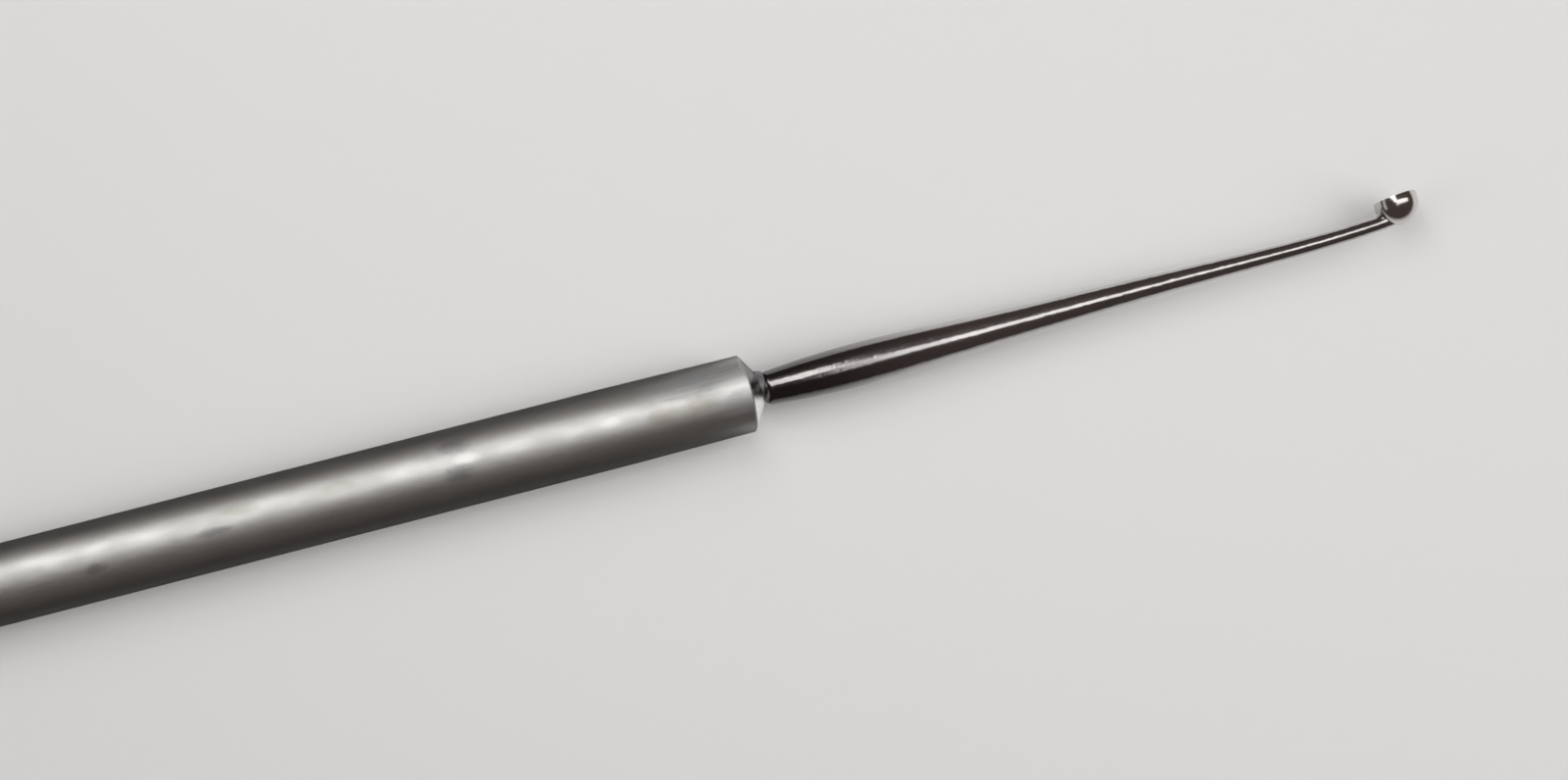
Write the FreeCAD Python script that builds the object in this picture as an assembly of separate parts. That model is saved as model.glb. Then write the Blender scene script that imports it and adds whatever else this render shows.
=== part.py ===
# A chalazion curette: a plain round steel handle with a turned conical nose, and a slim polished shank
# that swells behind its root, tapers forward, and ends in a small round cup with a sharp rim.
# The shank's thin tang sits in a blind bore in the nose, and a collar of solder holds it there.
# Sizes are in millimetres. +X runs from the handle's rear face to the cup and +Z is up. The curette
# lies on its handle on the plane Z = 0 with the cup's mouth facing +Y, and the origin is on that plane
# under the middle of its length.
import FreeCAD, Part
import math
import os

Point = FreeCAD.Vector

# Handle, a solid round bar
handle_diameter = 4.6
handle_length = 92.7  # rear face to front shoulder
rear_edge_radius = 0.6
front_taper_length = 8.0
shoulder_diameter = 4.46
shoulder_edge_radius = 0.08
nose_length = 0.72
nose_face_diameter = 2.0
shoulder_flat_depth = 0.21  # a flat is ground across one side of the shoulder's edge
shoulder_flat_slope = 48.0  # degrees between that flat and the handle's axis
shoulder_flat_turn = 48.0  # degrees round the axis from +Y towards +Z
plain_stretch_count = 2  # the one bar is stored as this many plain stretches and its tapered front

# Tang and neck, which share one diameter
tang_diameter = 1.0
tang_length = 10.0
tang_tip_chamfer = 0.15
solder_gap = 0.03  # between the tang and its bore, all round
bore_spare_depth = 0.4
neck_length = 0.13

# Shank: its diameters, and the distance from each to the next
root_diameter = 1.96
root_rounding_length = 0.5
root_to_swell = 2.07
swell_diameter = 2.27
swell_to_belly = 3.33
belly_diameter = 2.46
belly_to_taper = 4.5
taper_diameter = 2.21
taper_to_middle = 6.77
middle_diameter = 1.66
middle_to_slim = 9.09
slim_diameter = 1.14
slim_to_bend = 7.61
bend_diameter = 0.89
bend_to_straight = 1.52
straight_diameter = 0.87
straight_to_cup = 2.92
end_diameter = 0.86

# Bends of the shank, both towards the cup's mouth
root_bend_angle = 0.45
cup_bend_angle = 4.2

# Cup, a round bowl with a cutting edge round its mouth
cup_rim_diameter = 2.5
cup_outer_depth = 1.6
cup_inner_depth = 1.2
cup_edge_width = 0.05
cup_axis_below_rim = 1.12  # the shank's centre line, under the rim
cup_turn = 1.2  # degrees that the rim leans beyond the shank's own heading

# Solder, which has run up the neck on the mouth's side
solder_base_diameter = 1.84
solder_front_diameter = 1.60
solder_offset = 0.25
solder_front_overlap = 0.22  # how far it laps over the rounded root

# Distances along the shank's centre line, counted from the handle's shoulder
neck_start = nose_length
root_start = neck_start + neck_length
root_at = root_start + root_rounding_length
swell_at = root_at + root_to_swell
belly_at = swell_at + swell_to_belly
taper_at = belly_at + belly_to_taper
middle_at = taper_at + taper_to_middle
slim_at = middle_at + middle_to_slim
bend_at = slim_at + slim_to_bend
straight_at = bend_at + bend_to_straight
cup_at = straight_at + straight_to_cup

# Each bend is an arc: where it starts, its length, and its angle
shank_bends = [
    (root_at, root_to_swell, math.radians(root_bend_angle)),
    (bend_at, bend_to_straight, math.radians(cup_bend_angle)),
]

# Radii that follow from the cup's depths and widths
rim_radius = cup_rim_diameter / 2
bowl_radius = (cup_outer_depth**2 + rim_radius**2) / (2 * cup_outer_depth)
hollow_rim_radius = rim_radius - cup_edge_width
hollow_radius = (cup_inner_depth**2 + hollow_rim_radius**2) / (2 * cup_inner_depth)


def centre_line(distance):
    """Where the shank's centre line is at that distance from the shoulder, as (forward, sideways, heading)."""
    forward, sideways, heading, covered = 0.0, 0.0, 0.0, 0.0
    for start, length, angle in shank_bends:
        straight = max(0.0, min(distance, start) - covered)
        forward += straight * math.cos(heading)
        sideways += straight * math.sin(heading)
        covered += straight
        bent = max(0.0, min(distance, start + length) - start)
        radius = length / angle
        turned = heading + bent / radius
        forward += radius * (math.sin(turned) - math.sin(heading))
        sideways += radius * (math.cos(heading) - math.cos(turned))
        heading = turned
        covered += bent
    rest = max(0.0, distance - covered)
    forward += rest * math.cos(heading)
    sideways += rest * math.sin(heading)
    return forward, sideways, heading


def unit(angle):
    """The direction in the XY plane at that angle from +X towards +Y."""
    return Point(math.cos(angle), math.sin(angle), 0)


# The cup stands over the end of the centre line, square to its own lean
end_forward, end_sideways, end_heading = centre_line(cup_at)
cup_lean = end_heading + math.radians(cup_turn)
mouth_direction = unit(cup_lean + math.pi / 2)
rim_centre_ahead = Point(end_forward, end_sideways, 0) + mouth_direction * cup_axis_below_rim
bowl_centre_ahead = rim_centre_ahead - mouth_direction * (cup_outer_depth - bowl_radius)
reach = bowl_centre_ahead.x + bowl_radius

# Places in the part's frame
overall_length = handle_length + reach
rear_x = -overall_length / 2
shoulder_x = rear_x + handle_length
axis_z = handle_diameter / 2
shoulder = Point(shoulder_x, 0, axis_z)
forwards = Point(1, 0, 0)


def revolved(outline):
    """A solid of revolution about the handle's axis from an outline of (x, radius) edges that ends on the axis."""
    face = Part.Face(Part.Wire(outline))
    turned = face.revolve(Point(0, 0, 0), forwards, 360)
    turned.translate(Point(0, 0, axis_z))
    return turned


def line(start, end):
    return Part.LineSegment(Point(*start, 0), Point(*end, 0)).toShape()


def arc(start, middle, end):
    return Part.Arc(Point(*start, 0), Point(*middle, 0), Point(*end, 0)).toShape()


def rounded_corner(centre, radius, from_angle, to_angle):
    """A quarter of a small round, from one angle to the other about its centre."""
    def at(angle):
        turn = math.radians(angle)
        return (centre[0] + radius * math.cos(turn), centre[1] + radius * math.sin(turn))

    return arc(at(from_angle), at((from_angle + to_angle) / 2), at(to_angle))


def handle_bar():
    """The bar without its bore: rounded rear edge, long cylinder, slight front taper, shoulder and nose."""
    body_radius = handle_diameter / 2
    front_radius = shoulder_diameter / 2
    face_radius = nose_face_diameter / 2
    nose_x = shoulder_x + nose_length
    rear_round = rounded_corner(
        (rear_x + rear_edge_radius, body_radius - rear_edge_radius), rear_edge_radius, 180, 90
    )
    taper_start = (shoulder_x - front_taper_length, body_radius)
    edge_start = (shoulder_x - shoulder_edge_radius, front_radius)
    edge_end = (shoulder_x, front_radius - shoulder_edge_radius)
    outline = [
        line((rear_x, 0), (rear_x, body_radius - rear_edge_radius)),
        rear_round,
        line((rear_x + rear_edge_radius, body_radius), taper_start),
        line(taper_start, edge_start),
        line(edge_start, edge_end),
        line(edge_end, (nose_x, face_radius)),
        line((nose_x, face_radius), (nose_x, 0)),
        line((nose_x, 0), (rear_x, 0)),
    ]
    return revolved(outline)


def shoulder_flat():
    """The wedge of metal ground away from one side of the shoulder's edge."""
    turn = math.radians(shoulder_flat_turn)
    slope = math.radians(shoulder_flat_slope)
    outward = Point(0, math.cos(turn), math.sin(turn))
    edge = shoulder + outward * (shoulder_diameter / 2)
    normal = forwards * math.sin(slope) + outward * math.cos(slope)
    width = handle_diameter
    block = Part.makeBox(width, width, width, Point(-width / 2, -width / 2, 0))
    block.Placement = FreeCAD.Placement(
        edge - normal * shoulder_flat_depth, FreeCAD.Rotation(Point(0, 0, 1), normal)
    ) * block.Placement
    return block


def handle():
    """The bar with the flat on its shoulder and the blind bore for the tang."""
    bore = Part.makeCylinder(
        tang_diameter / 2 + solder_gap,
        nose_length + tang_length + bore_spare_depth,
        shoulder + forwards * nose_length,
        forwards * -1,
    )
    return in_stretches(handle_bar().cut(shoulder_flat()).cut(bore))


def in_stretches(bar):
    """The bar as solids end to end: its plain round part in equal stretches, and then its tapered front."""
    plain_length = handle_length - front_taper_length
    stretch = plain_length / plain_stretch_count
    cuts = [rear_x + stretch * (n + 1) for n in range(plain_stretch_count)]
    starts = [rear_x] + cuts
    ends = cuts + [shoulder_x + nose_length]
    width = 2 * handle_diameter
    corner = Point(0, -width / 2, axis_z - width / 2)
    return [
        bar.common(Part.makeBox(end - start, width, width, Point(start, 0, 0) + corner))
        for start, end in zip(starts, ends)
    ]


def tang_and_neck():
    """The plain pin from the tang's chamfered tip to a little inside the shank's root."""
    radius = tang_diameter / 2
    tip_x = shoulder_x - tang_length
    end_x = shoulder_x + root_at
    outline = [
        line((tip_x, 0), (tip_x, radius - tang_tip_chamfer)),
        line((tip_x, radius - tang_tip_chamfer), (tip_x + tang_tip_chamfer, radius)),
        line((tip_x + tang_tip_chamfer, radius), (end_x, radius)),
        line((end_x, radius), (end_x, 0)),
        line((end_x, 0), (tip_x, 0)),
    ]
    return revolved(outline)


def shank_root():
    """The rounded back end of the shank, where it swells out from the neck."""
    start_x = shoulder_x + root_start
    end_x = shoulder_x + root_at
    neck_radius = tang_diameter / 2
    rise = root_diameter / 2 - neck_radius
    halfway = math.sqrt(0.5)
    knee = (end_x - root_rounding_length * halfway, neck_radius + rise * halfway)
    outline = [
        line((start_x, 0), (start_x, neck_radius)),
        arc((start_x, neck_radius), knee, (end_x, root_diameter / 2)),
        line((end_x, root_diameter / 2), (end_x, 0)),
        line((end_x, 0), (start_x, 0)),
    ]
    return revolved(outline)


def shank_section(distance, diameter):
    """A circle square to the shank's centre line, its seam on the underside."""
    forward, sideways, heading = centre_line(distance)
    centre = shoulder + Point(forward, sideways, 0)
    circle = Part.Wire(Part.Circle(centre, unit(heading), diameter / 2).toShape())
    circle.rotate(centre, unit(heading), 180)
    return circle


def shank():
    """The swelling and tapering body of the shank, through its named diameters."""
    stations = [
        (root_at, root_diameter),
        (swell_at, swell_diameter),
        (belly_at, belly_diameter),
        (taper_at, taper_diameter),
        (middle_at, middle_diameter),
        (slim_at, slim_diameter),
        (bend_at, bend_diameter),
        (straight_at, straight_diameter),
        (cup_at, end_diameter),
    ]
    return Part.makeLoft([shank_section(*station) for station in stations], True, False)


def bowl():
    """The cup's outside, a ball cut off flat at the rim."""
    ball = Part.makeSphere(bowl_radius, shoulder + bowl_centre_ahead)
    size = 2 * bowl_radius
    lid = Part.makeBox(2 * size, 2 * size, size, Point(-size, -size, 0))
    lid.Placement = FreeCAD.Placement(
        shoulder + rim_centre_ahead, FreeCAD.Rotation(Point(0, 0, 1), mouth_direction)
    ) * lid.Placement
    return ball.cut(lid)


def hollow():
    """The round hollow that leaves a thin edge at the rim and a thicker floor."""
    centre = rim_centre_ahead + mouth_direction * (hollow_radius - cup_inner_depth)
    return Part.makeSphere(hollow_radius, shoulder + centre)


def shank_with_cup():
    """Tang, neck, root, shank and cup, forged and ground as one piece."""
    body = shank().fuse([tang_and_neck(), shank_root(), bowl()]).removeSplitter()
    return body.cut(hollow())


def solder_collar(shank_piece):
    """Solder between the nose and the shank's root, thickest on the mouth's side."""
    start = neck_start - solder_offset / 2
    length = root_start + solder_front_overlap - start
    centre = shoulder + Point(start, solder_offset, 0)
    lump = Part.makeCone(
        solder_base_diameter / 2, solder_front_diameter / 2, length, centre, forwards
    )
    return lump.cut(handle_bar()).cut(shank_piece)


def checked(shape, name):
    """The single solid in a shape."""
    solids = shape.Solids
    if len(solids) != 1 or not solids[0].isValid():
        raise ValueError(f"a shape of {name} is {len(solids)} solids, or not valid")
    return solids[0]


def main():
    os.makedirs("parts", exist_ok=True)
    shank_piece = shank_with_cup()
    pieces = {
        "handle": handle(),
        "shank_with_cup": [shank_piece],
        "solder_collar": [solder_collar(shank_piece)],
    }
    for name, shapes in pieces.items():
        whole = Part.makeCompound([checked(shape, name) for shape in shapes])
        whole.exportStep(f"parts/{name}.step")
        print(f"{name}: {len(shapes)} solids, {whole.Volume:.3f} mm3")
    print(f"overall length {overall_length:.3f}, rear face at X {rear_x:.3f}, shoulder at X {shoulder_x:.3f}")


main()
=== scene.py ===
"""A chalazion curette lying on a sheet of pale paper.

It has a satin steel handle, a polished shank with its cup, and a collar of solder between them. Lengths
are in metres in the frame's own axes: +X runs from the handle's rear to the cup and +Z is up. Inside the
materials they are in millimetres.
"""
import math

import bpy
from mathutils import Matrix, Vector


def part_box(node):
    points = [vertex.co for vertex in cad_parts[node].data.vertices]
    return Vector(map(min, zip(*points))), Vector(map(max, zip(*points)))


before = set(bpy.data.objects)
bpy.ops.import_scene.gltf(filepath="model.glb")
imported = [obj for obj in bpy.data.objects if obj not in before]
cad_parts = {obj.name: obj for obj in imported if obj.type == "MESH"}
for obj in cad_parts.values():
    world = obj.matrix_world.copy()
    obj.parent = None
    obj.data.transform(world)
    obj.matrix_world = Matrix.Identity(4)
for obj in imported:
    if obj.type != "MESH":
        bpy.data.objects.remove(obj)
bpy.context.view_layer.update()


# The handle is a plain bar of stainless steel, turned to its taper and nose and left with a satin finish.
# Use has given it lengthwise hairlines, bright scuffs, dark smudges, faint stains and a streaked, worn
# front. The turned nose is smoother, and on the side of the cup's back it is painted pale and matt, a
# painted reflection of the paper.
handle_low, handle_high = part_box("handle")
handle_radius_mm = (handle_high.z - handle_low.z) * 500
axis_height_mm = handle_radius_mm
nose_length_mm = 0.72
shoulder_x_mm = handle_high.x * 1000 - nose_length_mm
satin_colour = (0.8, 0.795, 0.765)
duller_colour = (0.73, 0.725, 0.7)
satin_grazing_tint = (0.05, 0.05, 0.05, 1)
satin_roughness = 0.48
roughness_spread = 0.04
hairline_colour = (0.83, 0.825, 0.8)
hairline_strength = 0.35
hairline_depth_mm = 0.012
grain_depth_mm = 0.006


class Finish:
    """A metal material being built: its nodes, its shader and the piece's coordinates in millimetres."""

    def __init__(self, name):
        self.material = bpy.data.materials.new(name)
        self.material.use_nodes = True
        self.tree = self.material.node_tree
        self.shader = self.tree.nodes["Principled BSDF"]
        self.shader.inputs["Metallic"].default_value = 1
        place = self.tree.nodes.new("ShaderNodeTexCoord").outputs["Object"]
        self.mm = self.vector("MULTIPLY", place, (1000, 1000, 1000))
        split = self.tree.nodes.new("ShaderNodeSeparateXYZ")
        self.link(self.mm, split.inputs[0])
        self.x, self.y, self.z = split.outputs

    def link(self, source, socket):
        """Puts a node's output, or a plain value, into a socket."""
        if isinstance(source, bpy.types.NodeSocket):
            self.tree.links.new(source, socket)
        else:
            socket.default_value = source

    def vector(self, operation, first, second):
        node = self.tree.nodes.new("ShaderNodeVectorMath")
        node.operation = operation
        self.link(first, node.inputs[0])
        self.link(second, node.inputs[1])
        return node.outputs[0]

    def sum(self, operation, first, second=0.0, third=0.0):
        node = self.tree.nodes.new("ShaderNodeMath")
        node.operation = operation
        for socket, value in zip(node.inputs, (first, second, third)):
            self.link(value, socket)
        return node.outputs[0]

    def between(self, value, low, high, at_low=0.0, at_high=1.0):
        """The value's way from low to high, smoothed and held at the ends."""
        node = self.tree.nodes.new("ShaderNodeMapRange")
        node.interpolation_type = "SMOOTHSTEP"
        for socket, given in zip(node.inputs, (value, low, high, at_low, at_high)):
            self.link(given, socket)
        return node.outputs[0]

    def noise(self, per_mm, detail=3.0, shift=(0, 0, 0)):
        """Noise with its own number of bumps per millimetre along X, Y and Z."""
        node = self.tree.nodes.new("ShaderNodeTexNoise")
        node.inputs["Scale"].default_value = 1
        node.inputs["Detail"].default_value = detail
        node.inputs["Roughness"].default_value = 0.55
        stretched = self.vector("MULTIPLY", self.vector("ADD", self.mm, shift), per_mm)
        self.link(stretched, node.inputs["Vector"])
        return node.outputs["Fac"]

    def blended(self, factor, first, second):
        """A mix of two colours, each a plain one or a node's output."""
        node = self.tree.nodes.new("ShaderNodeMix")
        node.data_type = "RGBA"
        self.link(factor, node.inputs[0])
        for socket, colour in ((node.inputs[6], first), (node.inputs[7], second)):
            self.link(colour if isinstance(colour, bpy.types.NodeSocket) else (*colour, 1), socket)
        return node.outputs[2]

    def bump(self, height, depth_mm, under=None):
        """The surface's direction after a bump, laid over the bump under it."""
        node = self.tree.nodes.new("ShaderNodeBump")
        node.inputs["Strength"].default_value = 0.5
        node.inputs["Distance"].default_value = depth_mm / 1000
        self.link(height, node.inputs["Height"])
        if under is not None:
            self.link(under, node.inputs["Normal"])
        return node.outputs["Normal"]

    def finish(self, colour, roughness, normal):
        self.link(colour, self.shader.inputs["Base Color"])
        self.link(roughness, self.shader.inputs["Roughness"])
        self.link(normal, self.shader.inputs["Normal"])
        return self.material


satin = Finish("satin_steel")
satin.shader.inputs["Specular Tint"].default_value = satin_grazing_tint
hairlines = satin.noise((0.35, 26, 26), detail=4)
grain = satin.noise((14, 30, 30), detail=2)
mottle = satin.noise((0.5, 1.1, 1.1), detail=4, shift=(0, 7, 3))
colour = satin.blended(satin.between(mottle, 0.3, 0.7), duller_colour, satin_colour)
colour = satin.blended(satin.between(hairlines, 0.35, 0.75, 0, hairline_strength), colour, hairline_colour)
smoothest, roughest = satin_roughness - roughness_spread, satin_roughness + roughness_spread
roughness = satin.between(mottle, 0.25, 0.75, roughest, smoothest)
normal = satin.bump(hairlines, hairline_depth_mm)
normal = satin.bump(grain, grain_depth_mm, under=normal)
round_angle = satin.sum("ARCTAN2", satin.y, satin.sum("SUBTRACT", satin.z, axis_height_mm))
round_arc = satin.sum("MULTIPLY", round_angle, handle_radius_mm)
edge_wobble = satin.noise((1.5, 2.5, 2.5), shift=(40, 0, 0))


def mark(behind_shoulder, arc, length, width, ragged=0.6):
    """How strongly one mark on the handle covers each place, from 0 to 1.

    It lies that far behind the shoulder and that far round the bar from its top, all in millimetres.
    """
    solid_to, gone_from = -0.3, 2.4
    along = satin.sum("SUBTRACT", satin.x, shoulder_x_mm - behind_shoulder)
    across = satin.sum("SUBTRACT", round_arc, arc)
    along = satin.sum("POWER", satin.sum("DIVIDE", along, length / 2), 2)
    across = satin.sum("POWER", satin.sum("DIVIDE", across, width / 2), 2)
    reach = satin.sum("ADD", along, across)
    frayed = satin.sum("MULTIPLY_ADD", satin.sum("SUBTRACT", edge_wobble, 0.5), 4 * ragged, reach)
    return satin.between(frayed, solid_to, gone_from, 1, 0)


# Each mark is given by its place behind the shoulder, its place round the bar, its length and its width.
stain_colour, stain_strength = (0.5, 0.49, 0.4), 0.5
stains = ((3.2, -0.2, 2.0, 0.8), (5.3, -0.25, 1.5, 0.8), (24.3, 0.4, 1.6, 0.6), (30.0, 0.6, 1.8, 0.6))
for stain in stains:
    colour = satin.blended(satin.sum("MULTIPLY", mark(*stain), stain_strength), colour, stain_colour)
smudge_colour, smudge_strength = (0.2, 0.2, 0.21), 0.48
smudges = ((17.4, -0.55, 1.5, 0.8), (17.3, 1.05, 1.6, 0.8), (38.7, -0.65, 1.1, 0.5), (31.8, -0.3, 2.0, 0.4))
for smudge in smudges:
    colour = satin.blended(satin.sum("MULTIPLY", mark(*smudge), smudge_strength), colour, smudge_colour)

worn_colour, worn_strength, worn_roughening = (0.62, 0.65, 0.68), 0.5, 0.16
worn = satin.sum("MAXIMUM", mark(2.4, 1.3, 6.5, 1.7, ragged=0.8), mark(0.6, -0.7, 2.2, 1.6))
streaks = satin.noise((0.25, 4, 4), shift=(3, 0, 9))
worn = satin.sum("MULTIPLY", worn, satin.between(streaks, 0.38, 0.62, 0.3, 1.3))
colour = satin.blended(satin.sum("MULTIPLY", worn, worn_strength), colour, worn_colour)
scuff_colour, scuff_strength, scuff_smoothing = (0.97, 0.965, 0.935), 0.6, 0.06
scuffs = satin.sum("MAXIMUM", mark(8.3, 0.1, 1.1, 0.5), mark(16.8, 0.2, 1.5, 0.5))
scuffs = satin.sum("MAXIMUM", scuffs, mark(0.3, 0.5, 2.6, 1.5))
colour = satin.blended(satin.sum("MULTIPLY", scuffs, scuff_strength), colour, scuff_colour)
roughness = satin.sum("MULTIPLY_ADD", scuffs, -scuff_smoothing, roughness)
roughness = satin.sum("MULTIPLY_ADD", worn, worn_roughening, roughness)

turned_face_colour, turned_face_roughness, shoulder_edge_mm = (0.6, 0.6, 0.6), 0.24, 0.02
# The nose's face on the side of the cup's back is painted pale and matt: a painted reflection of the paper.
painted_reflection_colour, painted_reflection_starts_y_mm, painted_reflection_full_y_mm = (0.8, 0.8, 0.79), -0.2, -0.9
turned_face = satin.sum("GREATER_THAN", satin.x, shoulder_x_mm + shoulder_edge_mm)
colour = satin.blended(turned_face, colour, turned_face_colour)
smoother = satin.sum("MULTIPLY", turned_face, turned_face_roughness - satin_roughness)
roughness = satin.sum("ADD", roughness, smoother)
painted_reflection = satin.sum("MULTIPLY", turned_face, satin.between(satin.y, painted_reflection_starts_y_mm, painted_reflection_full_y_mm))
colour = satin.blended(painted_reflection, colour, painted_reflection_colour)
satin.link(satin.between(painted_reflection, 0, 1, 1, 0), satin.shader.inputs["Metallic"])
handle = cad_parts["handle"]
handle.data.materials[0] = satin.finish(colour, roughness, normal)


# The shank and its cup are one piece of harder steel, forged, ground round and polished bright. Fine
# grinding lines run along it and small pits break up its one long highlight. Its root is painted darker,
# painted shade that dims the highlight there. The cup is buffed inside and out, and its rim is ground thin.
polished_colour = (0.56, 0.545, 0.53)
clouded_colour = (0.64, 0.62, 0.61)
# Painted shade: the shank is painted darkest just past its root and fades back to its own colour by 13 mm.
root_shade_colour, darkest_to_mm, root_shade_to_mm = (0.175, 0.168, 0.163), 1.0, 13.0
cup_colour, cup_length_mm, cup_fade_mm = (0.73, 0.685, 0.665), 2.4, 0.3
pit_colour, pit_strength, pit_depth_mm = (0.12, 0.11, 0.1), 0.5, 0.001
line_depth_mm = 0.001
smoothest, roughest = 0.13, 0.21
polish = Finish("polished_steel")
lines = polish.noise((0.4, 22, 22), detail=2)
pits = polish.noise((16, 30, 30), detail=2, shift=(11, 0, 0))
cloud = polish.noise((0.7, 1.4, 1.4), detail=3)
colour = polish.blended(polish.between(cloud, 0.3, 0.7), polished_colour, clouded_colour)
root_x_mm = shoulder_x_mm + nose_length_mm
root_shade = polish.between(polish.x, root_x_mm + darkest_to_mm, root_x_mm + root_shade_to_mm, 1, 0)
colour = polish.blended(root_shade, colour, root_shade_colour)
cup_x_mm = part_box("shank_with_cup")[1].x * 1000 - cup_length_mm
colour = polish.blended(polish.between(polish.x, cup_x_mm, cup_x_mm + cup_fade_mm), colour, cup_colour)
speck = polish.between(pits, 0.7, 0.78)
colour = polish.blended(polish.sum("MULTIPLY", speck, pit_strength), colour, pit_colour)
roughness = polish.between(lines, 0.3, 0.7, smoothest, roughest)
normal = polish.bump(lines, line_depth_mm)
normal = polish.bump(pits, pit_depth_mm, under=normal)
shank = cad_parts["shank_with_cup"]
shank.data.materials[0] = polish.finish(colour, roughness, normal)


# The collar is silver solder that ran round the neck and was dressed with a file. It is duller and greyer
# than the steel, and lumpy where it flowed.
# The hollows between the lumps are painted darker and the lumps lighter: painted shade and light that
# follow the bumps.
painted_hollow_shade_colour, painted_lump_light_colour, lump_depth_mm = (0.34, 0.34, 0.345), (0.5, 0.5, 0.505), 0.02
grit_depth_mm = 0.003
smoothest, roughest = 0.5, 0.64
solder = Finish("solder")
lumps = solder.noise((3, 3, 3), detail=3)
grit = solder.noise((25, 25, 25), detail=2)
colour = solder.blended(lumps, painted_hollow_shade_colour, painted_lump_light_colour)
roughness = solder.between(grit, 0.3, 0.7, smoothest, roughest)
normal = solder.bump(lumps, lump_depth_mm)
normal = solder.bump(grit, grit_depth_mm, under=normal)
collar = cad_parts["solder_collar"]
collar.data.materials[0] = solder.finish(colour, roughness, normal)


# The curette lies on a large sheet of pale matt paper. Away from the tool the sheet is dark in reflections,
# so the steel mirrors only the paper near it: little beside the handle, more beside the shank and most on
# the shank's mouth side.
paper_half_size = 8.0
paper_colour = (0.77, 0.77, 0.765)
mirrored_by_handle_mm, mirrored_by_shank_mm, mirrored_on_mouth_side_mm = 2.2, 10.0, 80.0
bpy.ops.mesh.primitive_plane_add(size=2 * paper_half_size, location=(0, 0, 0))
paper = bpy.context.object
paper.name = "paper_sheet"
sheet = bpy.data.materials.new("pale_paper")
sheet.use_nodes = True
nodes, links = sheet.node_tree.nodes, sheet.node_tree.links
nodes.clear()
output = nodes.new("ShaderNodeOutputMaterial")
matt = nodes.new("ShaderNodeBsdfDiffuse")
links.new(matt.outputs[0], output.inputs[0])


def paper_sum(operation, first, second):
    node = nodes.new("ShaderNodeMath")
    node.operation = operation
    for socket, value in zip(node.inputs, (first, second)):
        if isinstance(value, bpy.types.NodeSocket):
            links.new(value, socket)
        else:
            socket.default_value = value
    return node.outputs[0]


split = nodes.new("ShaderNodeSeparateXYZ")
links.new(nodes.new("ShaderNodeTexCoord").outputs["Object"], split.inputs[0])
past_handle = paper_sum("GREATER_THAN", split.outputs["X"], shoulder_x_mm / 1000)
mouth_side = paper_sum("GREATER_THAN", split.outputs["Y"], 0.0)
growth = paper_sum("MULTIPLY", mouth_side, (mirrored_on_mouth_side_mm - mirrored_by_shank_mm) / 1000)
growth = paper_sum("ADD", growth, (mirrored_by_shank_mm - mirrored_by_handle_mm) / 1000)
mirrored_width = paper_sum("ADD", paper_sum("MULTIPLY", past_handle, growth), mirrored_by_handle_mm / 1000)
away = paper_sum("POWER", paper_sum("DIVIDE", split.outputs["Y"], mirrored_width), 2)
mirrored = paper_sum("DIVIDE", 1.0, paper_sum("ADD", away, 1.0))
path = nodes.new("ShaderNodeLightPath")
dimmed = paper_sum("MULTIPLY", path.outputs["Is Glossy Ray"], paper_sum("SUBTRACT", 1.0, mirrored))
tone = nodes.new("ShaderNodeMix")
tone.data_type = "RGBA"
tone.inputs[6].default_value = (*paper_colour, 1)
tone.inputs[7].default_value = (0, 0, 0, 1)
links.new(dimmed, tone.inputs[0])
links.new(tone.outputs[2], matt.inputs["Color"])
paper.data.materials.append(sheet)


# Soft studio light: a row of small softboxes just over the tool, each a step further to one side, which
# the steel mirrors as one long highlight. Large softboxes farther out light the paper and aren't mirrored.
# A dim card behind the handle's rear shows in the steel when it is seen lengthwise.
def softbox(name, place, target, width, length, brightness):
    """A rectangular lamp of that brightness, its width across its own X, facing the target."""
    light = bpy.data.lights.new(name, "AREA")
    light.shape = "RECTANGLE"
    light.size = width
    light.size_y = length
    light.energy = brightness * math.pi * width * length
    lamp = bpy.data.objects.new(name, light)
    bpy.context.scene.collection.objects.link(lamp)
    facing = (Vector(target) - Vector(place)).to_track_quat("-Z", "Y").to_matrix().to_4x4()
    lamp.matrix_world = Matrix.Translation(place) @ facing
    lamp.visible_camera = False
    return lamp


lamp_height = 0.152
for name, low_x, high_x, low_y, high_y, brightness in (
    ("rear_step", -0.045, -0.005, 0.068, 0.200, 3.2),
    ("middle_step", -0.005, 0.020, 0.045, 0.130, 3.2),
    ("front_step", 0.020, 0.044, 0.003, 0.090, 4.6),
    ("neck_step", 0.044, 0.060, -0.055, 0.045, 1.25),
    ("shank_strip", 0.060, 0.300, -0.042, 0.022, 1.4),
):
    centre = ((low_x + high_x) / 2, (low_y + high_y) / 2)
    softbox(name, (*centre, lamp_height), (*centre, 0), high_x - low_x, high_y - low_y, brightness)
for name, place, brightness in (
    ("rear_fill", (-0.75, -0.04, 0.66), 1.2),
    ("front_near_fill", (0.75, -0.30, 0.66), 2.8),
    ("front_far_fill", (0.76, 0.10, 0.66), 2.0),
    ("near_fill", (0.0, -0.79, 0.66), 0.35),
    ("far_fill", (0.0, 0.79, 0.66), 0.3),
):
    fill = softbox(name, place, target=(0, 0, 0), width=0.53, length=0.79, brightness=brightness)
    fill.visible_glossy = False
softbox("rear_card", place=(-1.0, 0.0, 0.34), target=(0, 0, 0), width=0.9, length=0.3, brightness=0.45)


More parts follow.
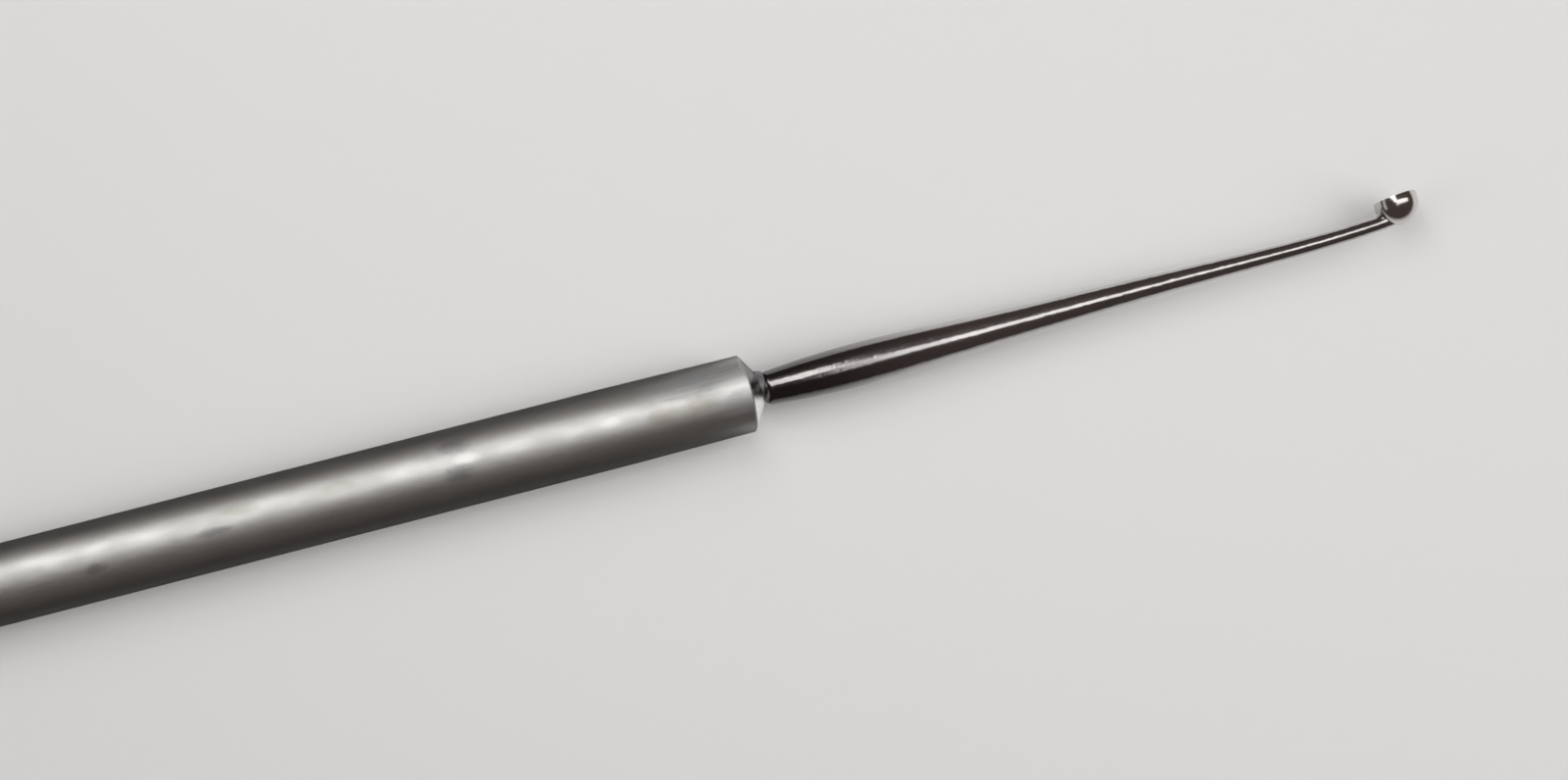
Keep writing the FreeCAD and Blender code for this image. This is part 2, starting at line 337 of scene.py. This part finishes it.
# The room round the table is dark and a little warm, and the steel mirrors it where it mirrors neither a
# lamp nor the paper. Seen directly, past the edge of the sheet, it is as pale as the paper.
mirrored_room_colour = (0.06, 0.046, 0.043, 1)
seen_room_colour = (0.71, 0.71, 0.705, 1)
world = bpy.data.worlds.new("studio")
bpy.context.scene.world = world
world.use_nodes = True
nodes, links = world.node_tree.nodes, world.node_tree.links
background = nodes["Background"]
path = nodes.new("ShaderNodeLightPath")
tone = nodes.new("ShaderNodeMix")
tone.data_type = "RGBA"
tone.inputs[6].default_value = mirrored_room_colour
tone.inputs[7].default_value = seen_room_colour
links.new(path.outputs["Is Camera Ray"], tone.inputs[0])
links.new(tone.outputs[2], background.inputs["Color"])


# The camera stands far off with a long lens, leaning a little towards the handle's rear and to the cup's
# back, and turned so that the tool climbs to the right.
lens_mm, sensor_mm = 400, 36
image_width, image_height = 1600, 796
pixels_per_mm = 17.98  # at the shoulder
lean_back, lean_side = math.radians(8.8), math.radians(5)
climb = math.radians(14.39)
shoulder_pixel = (762, 401.5)  # the centre of the handle's front edge

toward_camera = Vector((-math.sin(lean_back), -math.sin(lean_side), 0))
toward_camera.z = math.sqrt(1 - toward_camera.length_squared)
along = (Vector((1, 0, 0)) - toward_camera * toward_camera.x).normalized()
across = toward_camera.cross(along)
right = along * math.cos(climb) - across * math.sin(climb)
up = along * math.sin(climb) + across * math.cos(climb)
distance = lens_mm / sensor_mm * image_width / pixels_per_mm / 1000
shoulder = Vector((shoulder_x_mm, 0, axis_height_mm)) / 1000
offset = right * (image_width / 2 - shoulder_pixel[0]) + up * (shoulder_pixel[1] - image_height / 2)
target = shoulder + offset / pixels_per_mm / 1000
camera_data = bpy.data.cameras.new("camera")
camera_data.lens = lens_mm
camera_data.sensor_width = sensor_mm
camera = bpy.data.objects.new("camera", camera_data)
bpy.context.scene.collection.objects.link(camera)
turned = Matrix((right, up, toward_camera)).transposed().to_4x4()
camera.matrix_world = Matrix.Translation(target + toward_camera * distance) @ turned
bpy.context.scene.camera = camera
bpy.context.scene.view_settings.view_transform = "Standard"
